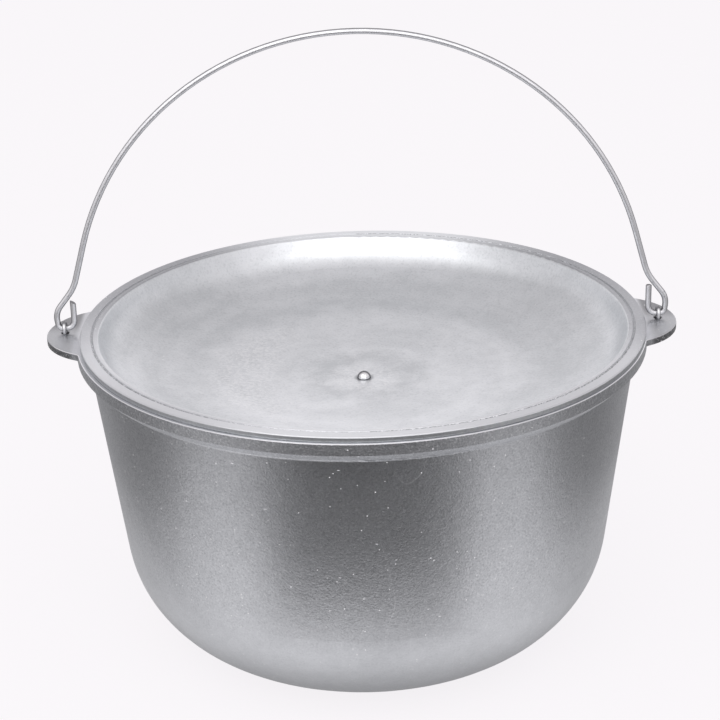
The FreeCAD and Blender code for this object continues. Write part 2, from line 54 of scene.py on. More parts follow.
class Wiring:
    """A node tree being wired: each method adds nodes and gives back their output."""

    def __init__(self, tree: bpy.types.NodeTree) -> None:
        """Start on an empty tree.

        Args:
            tree: the material's, world's or group's node tree, which is cleared.
        """
        self.tree = tree
        tree.nodes.clear()

    def node(
        self, kind: str, inputs: dict[str | int, Source] | None = None, **settings: object
    ) -> bpy.types.Node:
        """Add a node, set its properties and feed its inputs.

        Args:
            kind: the node's type name.
            inputs: values or sockets by input name or number.
            settings: properties of the node itself.

        Returns:
            The new node.
        """
        made = self.tree.nodes.new(kind)
        for name, value in settings.items():
            setattr(made, name, value)
        for key, source in (inputs or {}).items():
            self.feed(made.inputs[key], source)
        return made

    def feed(self, socket: Socket, source: Source) -> None:
        """Link a socket, or set the value written on it.

        Args:
            socket: the input to feed.
            source: an output socket, a number or a tuple.
        """
        if isinstance(source, Socket):
            self.tree.links.new(source, socket)
        elif isinstance(source, tuple) and len(socket.default_value) > len(source):
            socket.default_value = (*source, 1.0)
        else:
            socket.default_value = source

    def maths(self, operation: str, *values: Source) -> Socket:
        """One step of arithmetic: the Math node's operation on its operands."""
        return self.node("ShaderNodeMath", dict(enumerate(values)), operation=operation).outputs[0]

    def product(self, first: Source, *others: Source) -> Socket:
        """All the values multiplied together.

        Args:
            first: the first value.
            others: the values that it is multiplied with.

        Returns:
            The product.
        """
        for other in others:
            first = self.maths("MULTIPLY", first, other)
        return first

    def added(self, base: Source, *layers: tuple[Source, Source]) -> Socket:
        """A base with layers on it: base plus each value times its share.

        Args:
            base: what the layers are added to.
            layers: pairs of a value and its share.

        Returns:
            The sum.
        """
        for value, share in layers:
            base = self.maths("MULTIPLY_ADD", value, share, base)
        return base

    def ease(self, value: Source, span: Span, start: float = 0.0, end: float = 1.0) -> Socket:
        """Smooth step: start below the span, end above it, eased inside it.

        Args:
            value: what is compared with the span.
            span: where the step begins and ends.
            start: the result below the span.
            end: the result above it.

        Returns:
            The eased value.
        """
        low, high = span
        inputs = {"Value": value, "From Min": low, "From Max": high, "To Min": start, "To Max": end}
        made = self.node("ShaderNodeMapRange", inputs, interpolation_type="SMOOTHSTEP")
        return made.outputs["Result"]

    def fade(self, value: Source, span: Span, start: float = 1.0) -> Socket:
        """Smooth step down to nothing: start below the span and 0 above it."""
        return self.ease(value, span, start, 0.0)

    def window(self, value: Source, rise: Span, fall: Span) -> Socket:
        """Mask of the stretch between a smooth step up and a smooth step down."""
        return self.product(self.ease(value, rise), self.fade(value, fall))

    def noise(
        self,
        vector: Source,
        scale: Source,
        detail: float = 2.0,
        roughness: float = 0.5,
        distortion: float = 0.0,
    ) -> Socket:
        """Smooth random value about 0.5.

        Args:
            vector: the coordinates, in metres.
            scale: grains in a metre.
            detail: how many finer layers are added.
            roughness: how much each finer layer counts.
            distortion: how far the pattern is pulled about.

        Returns:
            The noise's value.
        """
        inputs = {
            "Vector": vector, "Scale": scale, "Detail": detail, "Roughness": roughness, "Distortion": distortion
        }
        return self.node("ShaderNodeTexNoise", inputs).outputs["Fac"]

    def mixed(
        self, kind: str, first_input: int, share: Source, first: Source, second: Source
    ) -> bpy.types.Node:
        """A Mix node with its three inputs fed.

        Args:
            kind: the node's data type.
            first_input: number of the input that takes the first value.
            share: 0 gives the first value, 1 the second.
            first: the value at a share of 0.
            second: the value at a share of 1.

        Returns:
            The node.
        """
        inputs = {0: share, first_input: first, first_input + 1: second}
        return self.node("ShaderNodeMix", inputs, data_type=kind)

    def blend(self, share: Source, first: Source, second: Source) -> Socket:
        """Colour between two colours, where a share of 1 gives the second."""
        return self.mixed("RGBA", 6, share, first, second).outputs[2]

    def level(self, share: Source, first: Source, second: Source) -> Socket:
        """Number between two numbers, where a share of 1 gives the second."""
        return self.mixed("FLOAT", 2, share, first, second).outputs[0]

    def scaled(self, vector: Source, factors: Point) -> Socket:
        """Coordinates stretched by a factor along each axis."""
        return self.node("ShaderNodeMapping", {"Vector": vector, "Scale": factors}).outputs[0]

    def place(self, centre: Point = (0.0, 0.0, 0.0)) -> Socket:
        """Object coordinates counted from a centre.

        Args:
            centre: the point that becomes zero, in metres.

        Returns:
            The coordinates.
        """
        source = self.node("ShaderNodeTexCoord").outputs["Object"]
        shift = tuple(-c for c in centre)
        return self.node("ShaderNodeMapping", {"Vector": source, "Location": shift}).outputs[0]

    def normal(self) -> Socket:
        """The surface's normal in the piece's own axes, so that it moves with the piece."""
        return self.node("ShaderNodeTexCoord").outputs["Normal"]

    def split(self, vector: Source) -> tuple[Socket, Socket, Socket]:
        """The three parts of a vector."""
        made = self.node("ShaderNodeSeparateXYZ", {0: vector})
        return made.outputs[0], made.outputs[1], made.outputs[2]

    def joined(self, x: Source, y: Source, z: Source) -> Socket:
        """A vector from its three parts."""
        return self.node("ShaderNodeCombineXYZ", {0: x, 1: y, 2: z}).outputs[0]

    def upward(self) -> Socket:
        """How far the surface looks up: 1 on level tops, 0 on upright sides, -1 underneath."""
        return self.split(self.normal())[2]

    def length(self, first: Source, second: Source) -> Socket:
        """Length of the vector that has these two parts: the root of the sum of squares."""
        return self.maths("SQRT", self.added(self.product(second, second), (first, first)))

    def bearing(self, x: Source, y: Source) -> Socket:
        """Degrees from the front, -Y, to the right: the arc tangent of x over minus y."""
        return self.maths("DEGREES", self.maths("ARCTAN2", x, self.product(y, -1.0)))


def node_material(name: str) -> tuple[bpy.types.Material, Wiring]:
    """A new material of nodes, and its empty tree ready to be wired.

    Args:
        name: the material's name.

    Returns:
        The material and the wiring of its tree.
    """
    made = bpy.data.materials.new(name)
    made.use_nodes = True
    return made, Wiring(made.node_tree)


class Effect:
    """A surface effect that several finishes share, kept as one shader node group."""

    name = "effect"
    inputs: tuple[tuple[str, str, float], ...] = ()
    outputs: tuple[str, ...] = ()

    def tree(self) -> bpy.types.NodeTree:
        """The group, made at its first use."""
        return bpy.data.node_groups.get(self.name) or self.made()

    def made(self) -> bpy.types.NodeTree:
        """Make the group's sockets and wire it.

        Returns:
            The finished group.
        """
        made = bpy.data.node_groups.new(self.name, "ShaderNodeTree")
        wiring = Wiring(made)
        for name, kind, start in self.inputs:
            socket = made.interface.new_socket(name, in_out="INPUT", socket_type=kind)
            if kind == "NodeSocketFloat":
                socket.default_value = start
        for name in self.outputs:
            made.interface.new_socket(name, in_out="OUTPUT", socket_type="NodeSocketFloat")
        source = wiring.node("NodeGroupInput")
        results = self.wire(wiring, {name: source.outputs[name] for name, _, _ in self.inputs})
        wiring.node("NodeGroupOutput", results)
        return made

    def wire(self, wiring: Wiring, given: dict[str, Socket]) -> dict[str, Source]:
        """Wire the inside of the group.

        Args:
            wiring: the group's tree.
            given: the group's inputs by name.

        Returns:
            What feeds each output, by name.
        """
        raise NotImplementedError

    def placed(self, wiring: Wiring, **inputs: Source) -> dict[str, Socket]:
        """Put the group into a material.

        Args:
            wiring: the material's tree.
            inputs: the group's inputs by name.

        Returns:
            The group's outputs by name.
        """
        node = wiring.tree.nodes.new("ShaderNodeGroup")
        node.node_tree = self.tree()
        for name, source in inputs.items():
            wiring.feed(node.inputs[name], source)
        return {name: node.outputs[name] for name in self.outputs}


class SandGrain(Effect):
    """Skin of a sand casting: fine grains on a slightly uneven ground."""

    name = "sand_grain"
    inputs = (("Place", "NodeSocketVector", 0.0), ("Fineness", "NodeSocketFloat", 1000.0))
    outputs = ("Height", "Fleck", "Pit")
    swell_scale = 0.22
    swell_share = 0.8
    high_grains: Span = (0.52, 0.7)
    low_grains: Span = (0.3, 0.48)

    def wire(self, wiring: Wiring, given: dict[str, Socket]) -> dict[str, Source]:
        """Height is grain on a coarser swell; Fleck is the highest grains and Pit the lowest.

        Args:
            wiring: the group's tree.
            given: Place, the coordinates, and Fineness, grains in a metre.

        Returns:
            Height, Fleck and Pit.
        """
        fine = wiring.noise(given["Place"], given["Fineness"], 2.0, 0.6)
        swell = wiring.noise(given["Place"], wiring.product(given["Fineness"], self.swell_scale))
        return {
            "Height": wiring.added(fine, (swell, self.swell_share)),
            "Fleck": wiring.ease(fine, self.high_grains),
            "Pit": wiring.fade(fine, self.low_grains),
        }


class Clouds(Effect):
    """Slow unevenness of bare metal, such as handling and storage leave."""

    name = "tarnish_clouds"
    inputs = (("Place", "NodeSocketVector", 0.0), ("Spread", "NodeSocketFloat", 9.0))
    outputs = ("Mask",)
    middle: Span = (0.32, 0.7)

    def wire(self, wiring: Wiring, given: dict[str, Socket]) -> dict[str, Source]:
        """Mask is a many-layered noise with its middle spread over 0 to 1."""
        ground = wiring.noise(given["Place"], given["Spread"], 6.0, 0.55, 0.6)
        return {"Mask": wiring.ease(ground, self.middle)}


class Specks(Effect):
    """Rare bright nicks where the skin is knocked through."""

    name = "bright_specks"
    inputs = (
        ("Place", "NodeSocketVector", 0.0),
        ("Cells", "NodeSocketFloat", 80.0),
        ("Share", "NodeSocketFloat", 0.1),
        ("Reach", "NodeSocketFloat", 0.12),
    )
    outputs = ("Mask",)
    soft_rim: Span = (0.55, 1.0)

    def wire(self, wiring: Wiring, given: dict[str, Socket]) -> dict[str, Source]:
        """Mask is 1 near the point of a cell, in the share of cells whose random value is low.

        Args:
            wiring: the group's tree.
            given: Place, Cells in a metre, the Share of them that has a speck, and its Reach in cells.

        Returns:
            Mask.
        """
        cells = wiring.node("ShaderNodeTexVoronoi", {"Vector": given["Place"], "Scale": given["Cells"]})
        chance = wiring.split(cells.outputs["Color"])[0]
        chosen = wiring.maths("LESS_THAN", chance, given["Share"])
        inner = wiring.maths("DIVIDE", cells.outputs["Distance"], given["Reach"])
        return {"Mask": wiring.product(chosen, wiring.fade(inner, self.soft_rim))}


class Scratches(Effect):
    """Thin, long and broken marks in one main direction."""

    name = "hair_scratches"
    inputs = (("Place", "NodeSocketVector", 0.0), ("Lines", "NodeSocketFloat", 60.0))
    outputs = ("Mask",)
    middle = 0.5
    line_width: Span = (0.0, 0.008)
    patch_scale = 0.45
    patch_edge: Span = (0.55, 0.68)

    def wire(self, wiring: Wiring, given: dict[str, Socket]) -> dict[str, Source]:
        """Mask is 1 where a drawn-out noise crosses its middle value, broken up by a slower one.

        Args:
            wiring: the group's tree.
            given: Place, the coordinates, and Lines in a metre.

        Returns:
            Mask.
        """
        drawn = wiring.noise(given["Place"], given["Lines"], 1.0, 0.4, 0.3)
        off = wiring.maths("ABSOLUTE", wiring.maths("SUBTRACT", drawn, self.middle))
        patch = wiring.noise(given["Place"], wiring.product(given["Lines"], self.patch_scale))
        return {"Mask": wiring.product(wiring.fade(off, self.line_width), wiring.ease(patch, self.patch_edge))}


class TurningMarks(Effect):
    """Rings that a lathe tool leaves about an axis."""

    name = "turning_marks"
    inputs = (("Across", "NodeSocketFloat", 0.0), ("Pitch", "NodeSocketFloat", 0.0006))
    outputs = ("Height",)

    def wire(self, wiring: Wiring, given: dict[str, Socket]) -> dict[str, Source]:
        """Height is a cosine of the distance across the rings, with an uneven depth along it.

        Args:
            wiring: the group's tree.
            given: Across, the distance in metres, and Pitch, the width of a ring.

        Returns:
            Height.
        """
        turns = wiring.maths("DIVIDE", given["Across"], given["Pitch"])
        cosine = wiring.maths("COSINE", wiring.product(turns, 2.0 * math.pi))
        depth = wiring.noise(wiring.joined(turns, 0.0, 0.0), 0.6, 3.0, 0.7)
        return {"Height": wiring.product(cosine, depth)}


GRAIN = SandGrain()
CLOUDS = Clouds()
SPECKS = Specks()
SCRATCHES = Scratches()
TURNING = TurningMarks()


@dataclass
class Skin:
    """What a finish works out for its shader; depth is the size of the bump's height, in metres."""

    colour: Source
    roughness: Source
    height: Source
    depth: float
    extras: dict[str, Source] = field(default_factory=dict)


@dataclass(frozen=True)
class Metal:
    """What every finish of bare metal has: a clean and a dull colour, and a gloss."""

    name: str
    colour: Colour
    dull: Colour
    roughness: float

    def material(self) -> bpy.types.Material:
        """The finish as a Blender material, made at its first use.

        Returns:
            The material.
        """
        found = bpy.data.materials.get(self.name)
        if found:
            return found
        made, wiring = node_material(self.name)
        skin = self.surface(wiring)
        bump = wiring.node("ShaderNodeBump", {"Height": skin.height, "Distance": skin.depth, "Strength": 1.0})
        inputs = {"Base Color": skin.colour, "Roughness": skin.roughness, "Metallic": 1.0}
        inputs |= {"Normal": bump.outputs[0]} | skin.extras
        shader = wiring.node("ShaderNodeBsdfPrincipled", inputs)
        wiring.node("ShaderNodeOutputMaterial", {"Surface": shader.outputs[0]})
        return made

    def surface(self, wiring: Wiring) -> Skin:
        """Work out the surface.

        Args:
            wiring: the material's tree.

        Returns:
            Colour, roughness, bump and any more of the shader's inputs.
        """
        raise NotImplementedError

    def cloudy_roughness(self, wiring: Wiring, cloud: Source, spread: float) -> Socket:
        """The finish's roughness, varied by a share of the clouds about its middle."""
        return wiring.added(self.roughness - spread / 2.0, (cloud, spread))


@dataclass(frozen=True)
class SandCast(Metal):
    """Matte casting of the pot: sand grain, soft clouds, nicks and a smoother foot."""

    grain_per_metre: float = 800.0
    grain_depth: float = 0.00017
    foot_edge: Span = (0.03, 0.034)
    low_wall: Span = (0.045, 0.12)
    low_smoothness: float = 0.75
    rim_top: Span = (RIM_HEIGHT - 0.0005, RIM_HEIGHT - 0.0001)
    ear_from: Span = (RIM_RADIUS - 0.001, RIM_RADIUS + 0.003)
    ear_colour: Colour = (0.455, 0.465, 0.48)
    # ear_rear and ear_flank place painted shade on the ears: behind the eyes and on their upright sides
    ear_rear: Span = (-0.004, 0.016)
    ear_flank: Span = (0.15, 0.5)
    shade_colour: Colour = (0.22, 0.22, 0.23)
    # Painted highlight: a bright line on the front bevel of the rim and on the left ear's edge
    highlight_tilts: tuple[Span, Span] = ((0.2, 0.45), (0.85, 0.97))
    highlight_heights: Span = (RIM_HEIGHT - 0.001, RIM_HEIGHT - 0.0008)
    highlight_front: Span = (-0.012, -0.002)
    highlight_left_end: Span = (-0.201, -0.194)
    highlight_right_end: Span = (0.178, 0.186)
    highlight_colour: Colour = (0.93, 0.93, 0.95)
    collar: Span = (0.2015, 0.2035)
    collar_flecks: float = 2.2
    fleck_colour: Colour = (0.88, 0.89, 0.91)
    nick_colour: Colour = (0.97, 0.97, 0.98)

    def nicks(self, wiring: Wiring, place: Source) -> Socket:
        """Bright points, short level strokes and a few hair scratches.

        Args:
            wiring: the material's tree.
            place: the coordinates.

        Returns:
            The mask of the marks.
        """
        points = SPECKS.placed(wiring, Place=place, Cells=190.0, Share=0.6, Reach=0.1)["Mask"]
        flat = wiring.scaled(place, (0.4, 0.4, 1.3))
        strokes = SPECKS.placed(wiring, Place=flat, Cells=150.0, Share=0.6, Reach=0.07)["Mask"]
        hairs = SCRATCHES.placed(wiring, Place=wiring.scaled(place, (1.0, 1.0, 0.35)), Lines=34.0)["Mask"]
        marks = wiring.maths("MAXIMUM", points, wiring.product(strokes, 0.8))
        return wiring.maths("MAXIMUM", marks, wiring.product(hairs, 0.22))

    def smoothness(self, wiring: Wiring, place: Source, z: Source, turned: Source) -> Socket:
        """How far the sand grain is smoothed: the ragged foot, the low wall and the turned rim.

        Args:
            wiring: the material's tree.
            place: the coordinates.
            z: the height.
            turned: the mask of the rim's turned top.

        Returns:
            0 for full grain, 1 for smooth metal.
        """
        foot = wiring.fade(wiring.added(z, (wiring.noise(place, 260.0, 3.0), 0.006)), self.foot_edge)
        low = wiring.fade(z, self.low_wall, self.low_smoothness)
        return wiring.maths("MAXIMUM", wiring.maths("MAXIMUM", foot, low), turned)

    def with_ears(self, wiring: Wiring, ground: Source, x: Source, y: Source) -> Socket:
        """The ground made darker grey on the ears, with painted shade behind the eyes and on their upright
        sides.

        Args:
            wiring: the material's tree.
            ground: the casting's colour.
            x: the distance to the right.
            y: the distance to the back.

        Returns:
            The colour.
        """
        ears = wiring.ease(wiring.maths("ABSOLUTE", x), self.ear_from)
        ground = wiring.blend(wiring.product(ears, 0.85), ground, self.ear_colour)
        # Painted shade on the ears' rear half and on their upright sides, in shade_colour
        rear = wiring.product(ears, wiring.ease(y, self.ear_rear, 0.0, 0.85))
        flank = wiring.product(ears, wiring.fade(wiring.upward(), self.ear_flank, 0.8))
        return wiring.blend(wiring.maths("MAXIMUM", rear, flank), ground, self.shade_colour)

    def edge_highlight(self, wiring: Wiring, x: Source, y: Source, z: Source) -> Socket:
        """Mask of the painted highlight along the front bevel of the rim and the left ear.

        Args:
            wiring: the material's tree.
            x: the distance to the right.
            y: the distance to the back.
            z: the height.

        Returns:
            The mask.
        """
        return wiring.product(
            wiring.window(wiring.upward(), *self.highlight_tilts),
            wiring.ease(z, self.highlight_heights),
            wiring.fade(y, self.highlight_front),
            wiring.ease(x, self.highlight_left_end),
            wiring.ease(x, self.highlight_right_end, 1.0, 0.25),
        )

    def surface(self, wiring: Wiring) -> Skin:
        """Sand grain everywhere, less of it low down and on the turned rim.

        Args:
            wiring: the material's tree.

        Returns:
            The skin, less metallic in the nicks, whose torn metal scatters light.
        """
        place = wiring.place()
        x, y, z = wiring.split(place)
        grain = GRAIN.placed(wiring, Place=place, Fineness=self.grain_per_metre)
        cloud = CLOUDS.placed(wiring, Place=place, Spread=9.0)["Mask"]
        mottle = CLOUDS.placed(wiring, Place=place, Spread=120.0)["Mask"]
        nicks = self.nicks(wiring, place)
        turned = wiring.ease(z, self.rim_top)
        smooth = self.smoothness(wiring, place, z, turned)
        pits = wiring.product(grain["Pit"], wiring.ease(smooth, WHOLE, 0.8, 0.15))
        shade = wiring.added(pits, (mottle, 0.22), (cloud, 0.35))
        ground = self.with_ears(wiring, wiring.blend(shade, self.colour, self.dull), x, y)
        # Painted highlight along the front bevel of the rim and the left ear
        ground = wiring.blend(self.edge_highlight(wiring, x, y, z), ground, self.highlight_colour)
        flecks = wiring.product(
            grain["Fleck"],
            wiring.ease(smooth, WHOLE, 0.4, 0.05),
            wiring.ease(z, self.collar, 1.0, self.collar_flecks),
        )
        flecked = wiring.blend(flecks, ground, self.fleck_colour)
        colour = wiring.blend(nicks, flecked, self.nick_colour)
        rough = wiring.added(self.cloudy_roughness(wiring, cloud, 0.05), (smooth, -0.05), (nicks, -0.15))
        rings = TURNING.placed(wiring, Across=wiring.length(x, y), Pitch=0.0009)["Height"]
        height = wiring.product(grain["Height"], wiring.ease(smooth, WHOLE, 1.0, 0.2))
        height = wiring.added(height, (wiring.product(rings, turned), 0.1), (nicks, 0.15))
        return Skin(colour, rough, height, self.grain_depth, {"Metallic": wiring.added(1.0, (nicks, -0.9))})


@dataclass(frozen=True)
class DishCast(Metal):
    """Lid's casting: finer grain, a rubbed halo round the rivet and a turned flange."""

    grain_per_metre: float = 620.0
    grain_depth: float = 0.00009
    flange_from: Span = (0.171, 0.1717)
    flange_tilt: Span = (0.3, 0.6)
    flange_side: Span = (0.1815, 0.1818)
    side_tilt: Span = (0.2, 0.6)
    groove_at: float = 0.1751
    groove_width: Span = (0.0003, 0.0009)
    halo_edges: tuple[Span, Span] = ((0.022, 0.041), (0.038, 0.060))
    middle_rub: Span = (0.014, 0.030)
    worn_band: tuple[Span, Span] = ((0.062, 0.085), (0.105, 0.125))
    worn_left: Span = (-0.07, -0.02)
    flake_edge: Span = (0.47, 0.62)
    shaded_band: tuple[Span, Span] = ((0.115, 0.135), (0.155, 0.168))
    far_wall: Span = (0.135, 0.155)
    # Bearings where the flange and the dish's far wall get painted shade, and where the flange gets a painted
    # highlight
    shaded_bearings: tuple[Span, Span] = ((55.0, 95.0), (130.0, 165.0))
    highlight_bearings: Span = (45.0, 88.0)
    bearing_skew: float = 30.0
    rivet_shadow: Span = (0.0046, 0.0075)
    # Colour of the painted shade on the flange's edge, in the groove and round the rivet's foot
    painted_shade: Colour = (0.40, 0.415, 0.43)
    flange_shade: Colour = (0.49, 0.50, 0.52)
    flange_highlight: Colour = (0.83, 0.84, 0.86)
    fleck_colour: Colour = (0.9, 0.91, 0.93)
    rubbed_colour: Colour = (0.93, 0.94, 0.95)
    speck_colour: Colour = (0.96, 0.96, 0.97)

    def flange(self, wiring: Wiring, around: Source) -> Socket:
        """Mask of the turned top of the flange, lip included, but not its upright edge."""
        outside = wiring.ease(around, self.flange_from)
        return wiring.product(outside, wiring.ease(wiring.upward(), self.flange_tilt))

    def halo(self, wiring: Wiring, place: Source, around: Source) -> Socket:
        """Dull ring about the rivet, where the spare room between two uneven circles is.

        Args:
            wiring: the material's tree.
            place: the coordinates.
            around: the distance from the lid's axis.

        Returns:
            The ring's mask.
        """
        ragged = wiring.added(around, (wiring.noise(place, 60.0, 4.0, 0.6), 0.018))
        patchy = wiring.ease(wiring.noise(place, 110.0, 3.0, 0.6), (0.3, 0.6), 0.45, 1.0)
        return wiring.product(wiring.window(ragged, *self.halo_edges), patchy)

    def ringed(self, wiring: Wiring, x: Source, y: Source, around: Source) -> Socket:
        """Coordinates in which a pattern comes out drawn along the dish's rings.

        Args:
            wiring: the material's tree.
            x: the distance to the right of the lid's axis.
            y: the distance behind it.
            around: the distance from it.

        Returns:
            The distance, then the direction as a short arrow.
        """
        across, behind = (wiring.product(wiring.maths("DIVIDE", part, around), 0.03) for part in (x, y))
        return wiring.joined(around, across, behind)

    def rubbed(self, wiring: Wiring, place: Source, x: Source, around: Source, band: Source) -> Socket:
        """Mask of the flaky bright metal round the rivet and in a crescent on the left.

        Args:
            wiring: the material's tree.
            place: the coordinates.
            x: the distance to the right of the lid's axis.
            around: the distance from it.
            band: the same distance, made uneven.

        Returns:
            The mask.
        """
        flakes = wiring.ease(wiring.noise(place, 420.0, 3.0, 0.65), self.flake_edge)
        middle = wiring.product(wiring.fade(around, self.middle_rub), flakes, 0.6)
        crescent = wiring.window(band, *self.worn_band)
        worn = wiring.product(crescent, flakes, wiring.fade(x, self.worn_left, 0.6))
        return wiring.maths("MAXIMUM", middle, worn)

    def groove_shade(self, wiring: Wiring, place: Source, around: Source) -> Socket:
        """Mask of the broken line of painted shade in the flange's groove.

        Args:
            wiring: the material's tree.
            place: the coordinates.
            around: the distance from the lid's axis.

        Returns:
            The mask.
        """
        off = wiring.maths("ABSOLUTE", wiring.maths("SUBTRACT", around, self.groove_at))
        broken = wiring.ease(wiring.noise(place, 700.0), (0.35, 0.55))
        return wiring.product(wiring.fade(off, self.groove_width), broken)

    def surface(self, wiring: Wiring) -> Skin:
        """Grain in the dish, rings on the flange, painted shade in the groove, a dull ring about the rivet.

        Args:
            wiring: the material's tree.

        Returns:
            The skin; the turned flange spreads light outwards and inwards, across its rings.
        """
        place = wiring.place(LID_AXIS)
        x, y, _ = wiring.split(place)
        around = wiring.length(x, y)
        grain = GRAIN.placed(wiring, Place=place, Fineness=self.grain_per_metre)
        cloud = CLOUDS.placed(wiring, Place=self.ringed(wiring, x, y, around), Spread=30.0)["Mask"]
        mottle = CLOUDS.placed(wiring, Place=place, Spread=75.0)["Mask"]
        patchy = CLOUDS.placed(wiring, Place=place, Spread=16.0)["Mask"]
        band = wiring.added(around, (wiring.noise(place, 38.0, 3.0), 0.03))
        flange = self.flange(wiring, around)
        aside = wiring.bearing(wiring.maths("ABSOLUTE", x), y)
        aside = wiring.added(aside, (x, self.bearing_skew))
        # Painted shade at the sides, by bearing from the front
        shaded_sides = wiring.window(aside, *self.shaded_bearings)
        # The first term is painted shade: the dish's far wall is darkened at the sides
        shade = wiring.added(
            wiring.product(wiring.ease(around, self.far_wall, 0.0, 0.4), shaded_sides),
            (mottle, 0.22),
            (cloud, 0.35),
            (patchy, 0.15),
            (self.halo(wiring, place, around), 0.6),
            # Painted shade: a darker ring across the dish between its floor and its wall
            (wiring.window(band, *self.shaded_band), 0.35),
            (grain["Pit"], 0.35),
        )
        shade = wiring.product(shade, wiring.ease(flange, WHOLE, 1.0, 0.3))
        # Painted highlight on the flange towards the front and the back
        bright = wiring.product(flange, wiring.fade(aside, self.highlight_bearings))
        # Painted shade on the flange's upright outer edge
        upright = wiring.fade(wiring.upward(), self.side_tilt)
        side = wiring.product(wiring.ease(around, self.flange_side), upright, 0.35)
        specks = SPECKS.placed(wiring, Place=place, Cells=150.0, Share=0.2, Reach=0.08)["Mask"]
        colour = wiring.blend(shade, self.colour, self.dull)
        for mask, coat in (
            # Painted shade on the flange at the sides, then its painted highlight at the front and back
            (wiring.product(flange, shaded_sides), self.flange_shade),
            (bright, self.flange_highlight),
            (side, self.painted_shade),
            # Painted shade in the groove
            (wiring.product(self.groove_shade(wiring, place, around), 0.8), self.painted_shade),
            (wiring.product(grain["Fleck"], 0.2), self.fleck_colour),
            (self.rubbed(wiring, place, x, around, band), self.rubbed_colour),
            # Painted shadow on the dish round the rivet's foot
            (wiring.fade(around, self.rivet_shadow, 0.9), self.painted_shade),
            (specks, self.speck_colour),
        ):
            colour = wiring.blend(mask, colour, coat)
        rough = wiring.added(self.roughness - 0.02, (cloud, 0.05), (flange, 0.06))
        rings = TURNING.placed(wiring, Across=around, Pitch=0.0007)["Height"]
        height = wiring.product(grain["Height"], wiring.ease(flange, WHOLE, 1.0, 0.2))
        height = wiring.added(height, (wiring.product(rings, flange), 0.12))
        brushed = {"Anisotropic": wiring.product(flange, 0.85), "Tangent": wiring.joined(x, y, 0.0)}
        return Skin(colour, rough, height, self.grain_depth, brushed)


@dataclass(frozen=True)
class DrawnWire(Metal):
    """Dull zinc-coated steel wire with faint draw lines along it."""

    centre: Point = BAIL_ARC_CENTRE
    # rim is the dark colour of the painted shade on the wire's sides, of its cut ends and of its dark specks
    rim: Colour = (0.16, 0.16, 0.17)
    side_shade: Span = (0.18, 0.6)
    cut_heights: tuple[Span, Span] = (
        (RIM_HEIGHT + 0.0195, RIM_HEIGHT + 0.02),
        (RIM_HEIGHT + 0.0235, RIM_HEIGHT + 0.0255),
    )
    cut_tilt: Span = (0.78, 0.84)
    bump_depth: float = 0.00003

    def surface(self, wiring: Wiring) -> Skin:
        """Lines that follow the bend: noise over the angle about a centre and across the wire.

        Args:
            wiring: the material's tree.

        Returns:
            The skin, with painted shade on the wire's inner and outer side, and darker on its cut ends.
        """
        place = wiring.place(self.centre)
        x, y, z = wiring.split(place)
        angle = wiring.product(wiring.maths("ARCTAN2", x, z), 0.02)
        lines = wiring.noise(wiring.joined(angle, y, wiring.length(x, z)), 2200.0, 2.0, 0.6)
        cloud = CLOUDS.placed(wiring, Place=place, Spread=90.0)["Mask"]
        specks = SPECKS.placed(wiring, Place=place, Cells=260.0, Share=0.08, Reach=0.2)["Mask"]
        shade = wiring.added(wiring.product(lines, 0.4), (cloud, 0.5))
        # Painted shade: the wire darkens where its surface turns from the front and back towards the inner and
        # outer side of the bend
        frontal = wiring.maths("ABSOLUTE", wiring.split(wiring.normal())[1])
        edge = wiring.maths("SUBTRACT", 1.0, frontal)
        cuts = wiring.window(wiring.split(wiring.place())[2], *self.cut_heights)
        ends = wiring.product(cuts, wiring.ease(wiring.upward(), self.cut_tilt), 0.9)
        colour = wiring.blend(shade, self.colour, self.dull)
        for mask in (wiring.ease(edge, self.side_shade, 0.0, 0.75), ends, wiring.product(specks, 0.5)):
            colour = wiring.blend(mask, colour, self.rim)
        rough = self.cloudy_roughness(wiring, shade, 0.12)
        height = wiring.added(wiring.noise(place, 260.0), (lines, 0.3))
        return Skin(colour, rough, height, self.bump_depth)


@dataclass(frozen=True)
class TurnedMetal(Metal):
    """Metal turned about the lid's axis: knob, rivet and washer."""

    pitch: float = 0.0008
    depth: float = 0.00002
    scratch_colour: Colour = (0.9, 0.9, 0.91)

    def surface(self, wiring: Wiring) -> Skin:
        """Rings over radius and height together, with clouds and fine scratches.

        Args:
            wiring: the material's tree.

        Returns:
            The skin.
        """
        place = wiring.place(LID_AXIS)
        x, y, z = wiring.split(place)
        across = wiring.maths("ADD", wiring.length(x, y), z)
        rings = TURNING.placed(wiring, Across=across, Pitch=self.pitch)["Height"]
        cloud = CLOUDS.placed(wiring, Place=place, Spread=130.0)["Mask"]
        scratch = SCRATCHES.placed(wiring, Place=place, Lines=300.0)["Mask"]
        ground = wiring.blend(wiring.product(cloud, 0.6), self.colour, self.dull)
        colour = wiring.blend(wiring.product(scratch, 0.5), ground, self.scratch_colour)
        rough = wiring.added(self.roughness - 0.03, (cloud, 0.08))
        return Skin(colour, rough, wiring.added(rings, (scratch, -0.4)), self.depth)


